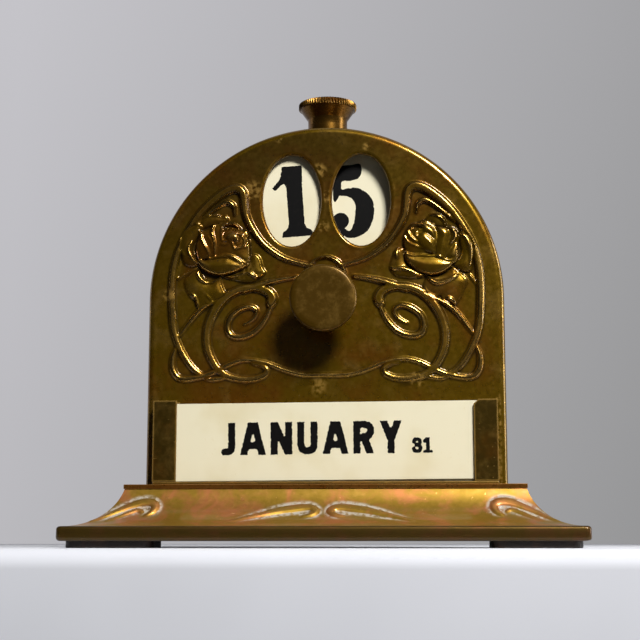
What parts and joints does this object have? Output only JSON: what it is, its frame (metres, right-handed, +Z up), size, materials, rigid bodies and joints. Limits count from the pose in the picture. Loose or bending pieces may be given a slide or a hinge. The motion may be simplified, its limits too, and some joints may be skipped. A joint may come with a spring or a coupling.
{
  "type": "perpetual desk calendar",
  "caption": "Arched brass desk calendar: knobs turn numbered discs behind oval windows, and month cards slide up out of channels on a hollow-curved base.",
  "frame": {"origin": "middle of the base's footprint, on the surface that the foot pads stand on", "axes": "+X to the reader's right along the base's width, +Y from front to back, +Z up"},
  "size_m": [0.136, 0.064, 0.1271],
  "materials": {
    "aged_brass": "pressed sheet with aged lacquer and brown patina",
    "knob_brass": "turned and dulled by handling",
    "turned_brass": "turned, plain",
    "steel": "plain mild steel",
    "celluloid": "ivory celluloid with black printing",
    "pad_leather": "thin dark leather"
  },
  "bodies": {
    "case": {"base_shell": "aged_brass", "base_top_plate": "aged_brass", "base_bottom_plate": "steel", "base_spacers": "steel", "base_screws": "steel", "foot_pad_front_left": "pad_leather", "foot_pad_front_right": "pad_leather", "foot_pad_rear_left": "pad_leather", "foot_pad_rear_right": "pad_leather", "front_plate": "aged_brass", "case_band": "aged_brass", "joint_strip": "turned_brass", "case_floor": "turned_brass", "back_cover": "aged_brass", "cover_lugs": "turned_brass", "cover_screws": "turned_brass", "card_sill": "aged_brass", "left_card_channel": "aged_brass", "right_card_channel": "aged_brass", "channel_rivets": "turned_brass", "front_bush": "turned_brass", "friction_washer": "steel", "arbor_bracket": "steel", "bracket_screws": "steel", "top_bush": "turned_brass", "top_bush_nut": "turned_brass"},
    "tens_works": {"front_knob": "knob_brass", "arbor": "steel", "arbor_collar": "turned_brass", "arbor_clip": "steel", "tens_disc": "celluloid", "tens_hub": "turned_brass", "tens_rivets": "turned_brass"},
    "units_works": {"units_disc": "celluloid", "units_hub": "turned_brass", "units_rivets": "turned_brass", "crown_wheel": "turned_brass"},
    "top_works": {"top_knob": "knob_brass", "top_shaft": "steel", "top_keeper": "turned_brass", "pinion": "turned_brass"},
    "month_card_1_body": {"month_card_1": "celluloid"},
    "month_card_2_body": {"month_card_2": "celluloid"},
    "month_card_3_body": {"month_card_3": "celluloid"},
    "month_card_4_body": {"month_card_4": "celluloid"},
    "month_card_5_body": {"month_card_5": "celluloid"},
    "month_card_6_body": {"month_card_6": "celluloid"}
  },
  "joints": [
    {"name": "tens_turn", "type": "hinge", "parent": "case", "child": "tens_works", "pos_m": [0, -0.0082, 0.0659], "axis": [0, 1, 0], "continuous": true},
    {"name": "units_turn", "type": "hinge", "parent": "case", "child": "units_works", "pos_m": [0, -0.0063, 0.0659], "axis": [0, 1, 0], "continuous": true},
    {"name": "top_turn", "type": "hinge", "parent": "case", "child": "top_works", "pos_m": [0, 0.0024, 0.1167], "axis": [0, 0, 1], "continuous": true},
    {"name": "month_card_1_lift", "type": "slide", "parent": "case", "child": "month_card_1_body", "axis": [0, 0, 1], "range_m": [0, 0.02]},
    {"name": "month_card_2_lift", "type": "slide", "parent": "case", "child": "month_card_2_body", "axis": [0, 0, 1], "range_m": [0, 0.02]},
    {"name": "month_card_3_lift", "type": "slide", "parent": "case", "child": "month_card_3_body", "axis": [0, 0, 1], "range_m": [0, 0.02]},
    {"name": "month_card_4_lift", "type": "slide", "parent": "case", "child": "month_card_4_body", "axis": [0, 0, 1], "range_m": [0, 0.02]},
    {"name": "month_card_5_lift", "type": "slide", "parent": "case", "child": "month_card_5_body", "axis": [0, 0, 1], "range_m": [0, 0.02]},
    {"name": "month_card_6_lift", "type": "slide", "parent": "case", "child": "month_card_6_body", "axis": [0, 0, 1], "range_m": [0, 0.02]}
  ],
  "couplings": [
    {"joint": "top_turn", "follows": "units_turn", "ratio": 4}
  ]
}
